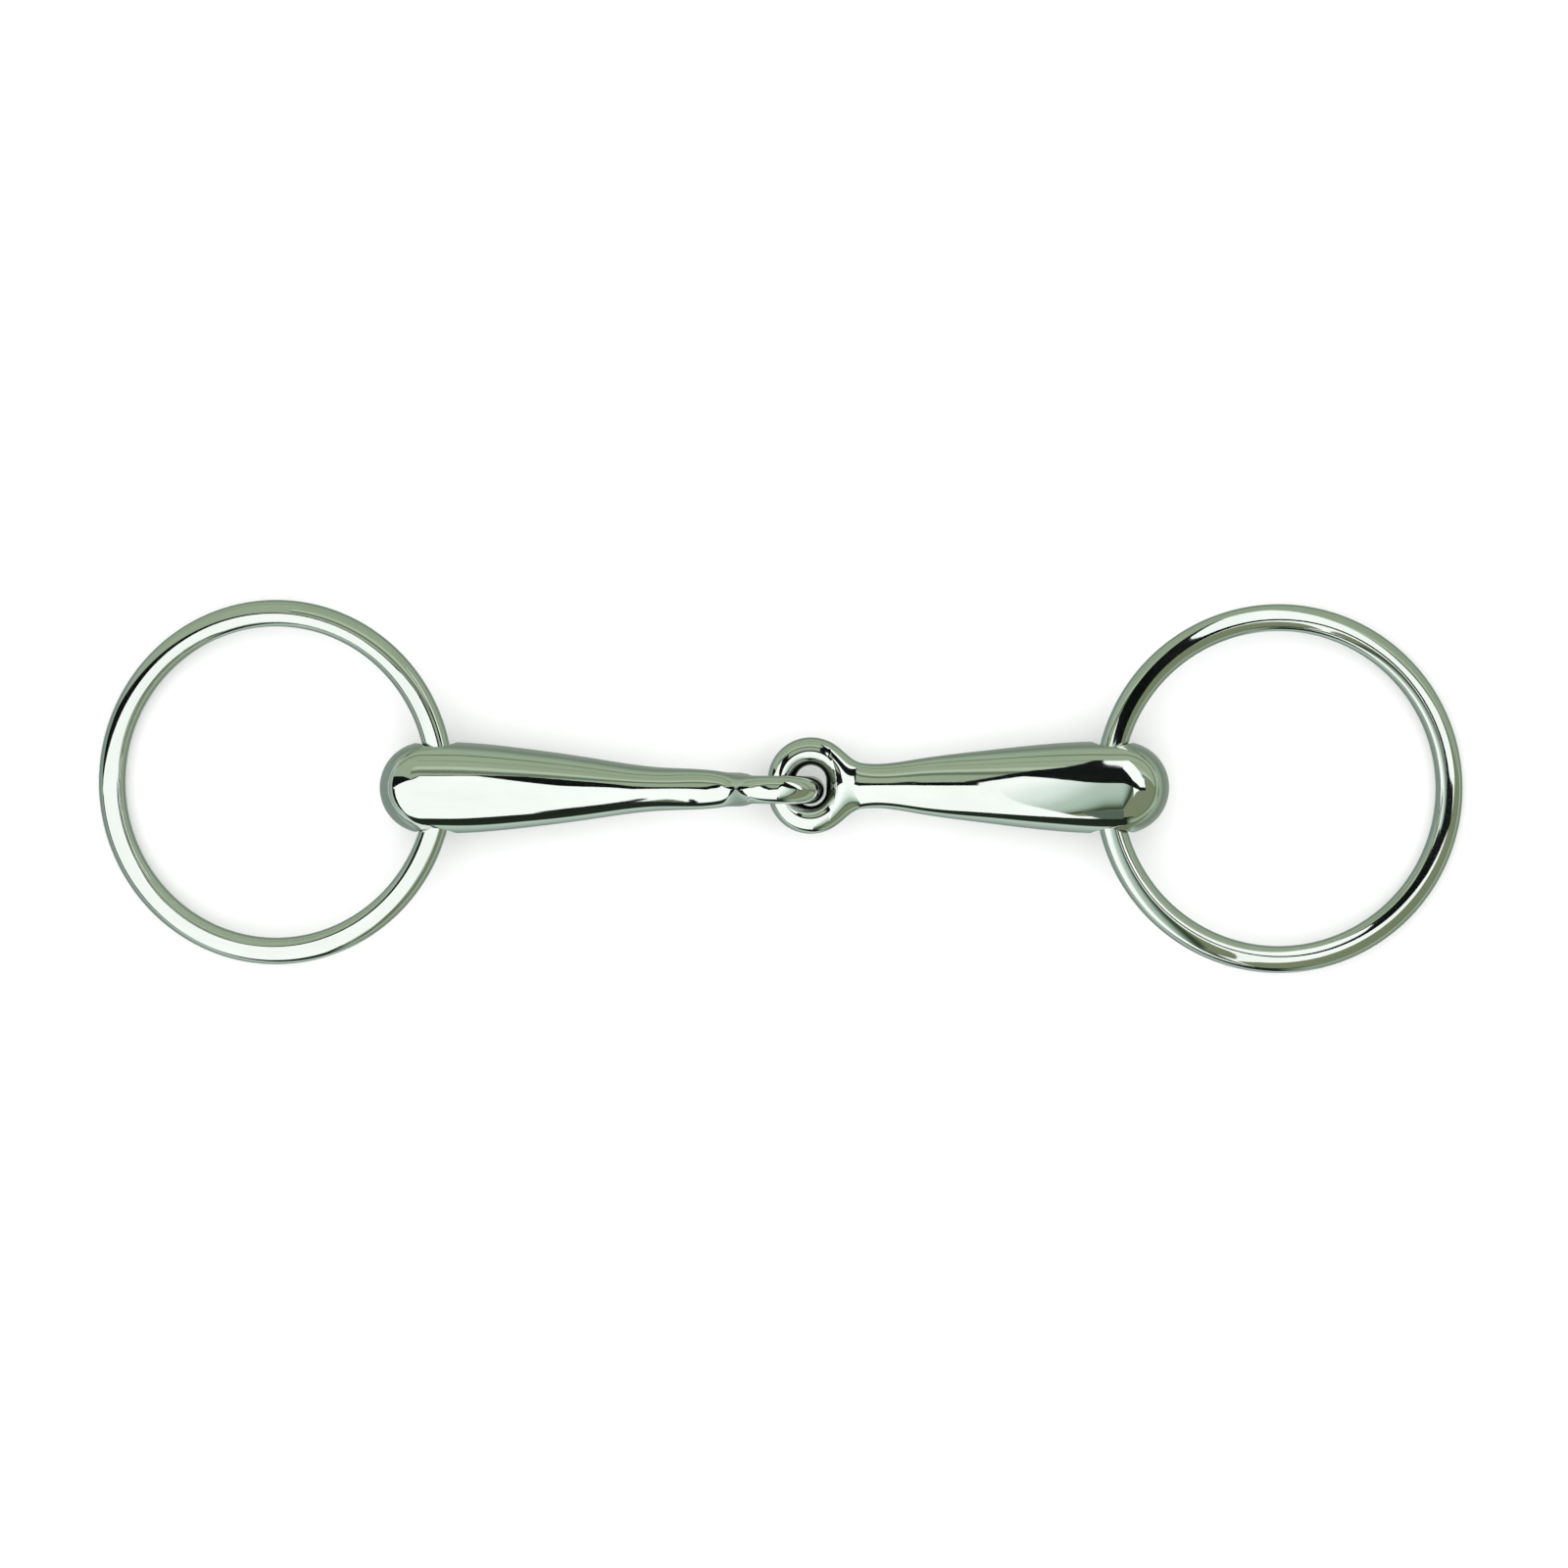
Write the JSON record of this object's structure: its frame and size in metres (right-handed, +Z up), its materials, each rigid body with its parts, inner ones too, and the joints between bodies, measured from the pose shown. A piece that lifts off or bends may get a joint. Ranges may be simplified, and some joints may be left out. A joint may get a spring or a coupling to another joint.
{
  "type": "snaffle bit",
  "caption": "Loose-ring snaffle bit with two tapered arms linked by interlocked eyes and a round ring hung through each end.",
  "frame": {"origin": "centre of the bit's bounding box on the plane it lies on, midway between the two ring holes", "axes": "+X along the mouthpiece towards the arm whose eye lies flat, +Y along the ring holes, +Z up from the surface the bit lies on"},
  "size_m": [0.3066, 0.082, 0.0214],
  "materials": {
    "mouthpiece_steel": "polished",
    "ring_steel": "polished"
  },
  "bodies": {
    "left_arm": {"left_cannon": "mouthpiece_steel", "left_ring_bush": "mouthpiece_steel", "left_eye": "mouthpiece_steel"},
    "right_arm": {"right_cannon": "mouthpiece_steel", "right_ring_bush": "mouthpiece_steel", "right_eye": "mouthpiece_steel"},
    "left_ring": {"left_ring": "ring_steel"},
    "right_ring": {"right_ring": "ring_steel"}
  },
  "joints": [
    {"name": "mouthpiece_fold", "type": "hinge", "parent": "left_arm", "child": "right_arm", "pos_m": [0.00845, -0.001, 0.0107], "axis": [0, 0, 1], "range_deg": [-120, 120]},
    {"name": "left_ring_swing", "type": "hinge", "parent": "left_arm", "child": "left_ring", "pos_m": [-0.0755, -0.001, 0.0107], "axis": [0, 1, 0], "range_deg": [-115, 125]},
    {"name": "right_ring_swing", "type": "hinge", "parent": "right_arm", "child": "right_ring", "pos_m": [0.0755, 0, 0.0107], "axis": [0, -1, 0], "range_deg": [-115, 125]}
  ]
}
